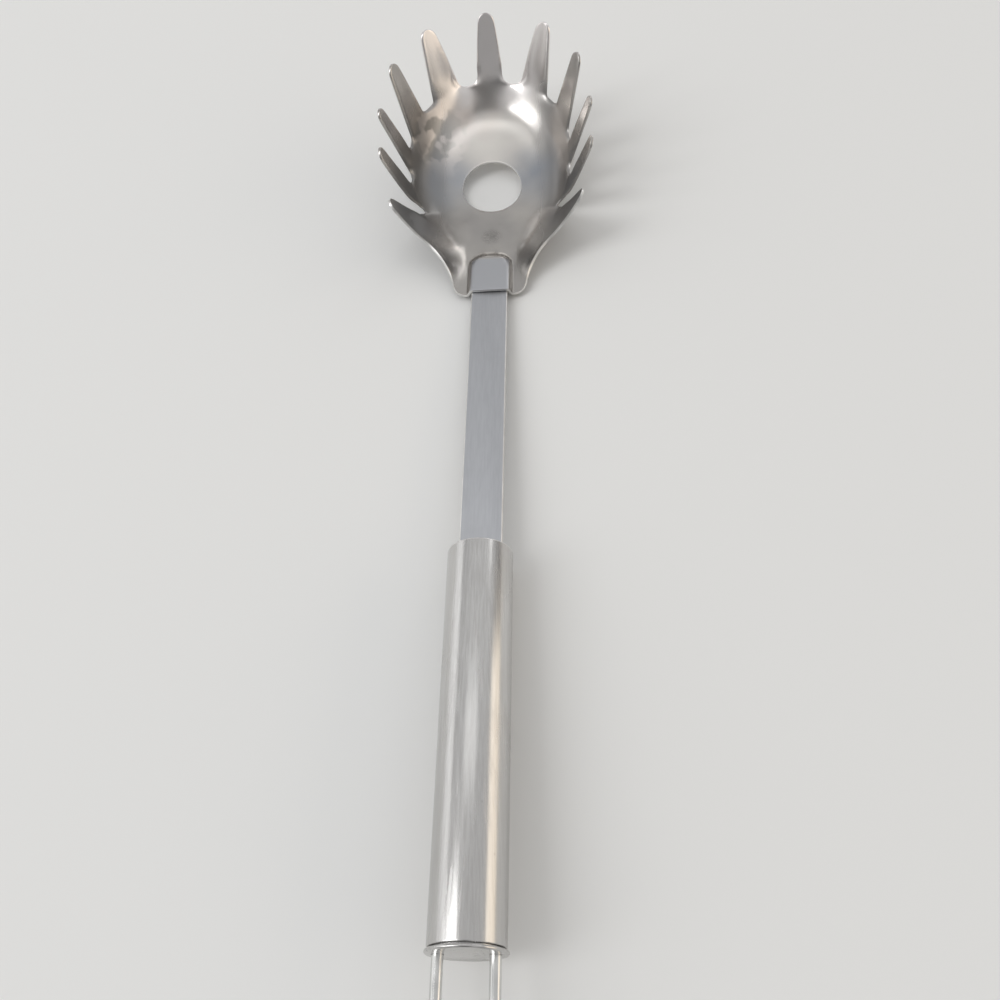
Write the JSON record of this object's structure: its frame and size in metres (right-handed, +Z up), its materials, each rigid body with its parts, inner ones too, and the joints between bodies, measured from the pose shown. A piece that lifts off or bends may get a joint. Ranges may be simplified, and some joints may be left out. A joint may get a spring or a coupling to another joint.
{
  "type": "spaghetti server",
  "caption": "Steel spaghetti server: a pressed bowl with a toothed rim and a measuring hole, on a flat strap with a tubular handle and a wire hanging loop.",
  "frame": {"origin": "middle of the overall box, on the flat surface that the server lies on", "axes": "+Y from the hanging loop to the head, +X to the right seen from above with the head away, +Z up"},
  "size_m": [0.0714, 0.3262, 0.0402],
  "materials": {
    "pressed_steel": "polished pressing with faint warm and bluish tints",
    "satin_steel": "satin",
    "tube_steel": "polished with fine lengthwise scratches",
    "wire_steel": "polished"
  },
  "bodies": {
    "root": {"server_head": "pressed_steel", "shank_strap": "satin_steel", "handle_tube": "tube_steel", "front_plug": "satin_steel", "end_cap": "tube_steel", "hanging_loop": "wire_steel"}
  },
  "joints": []
}
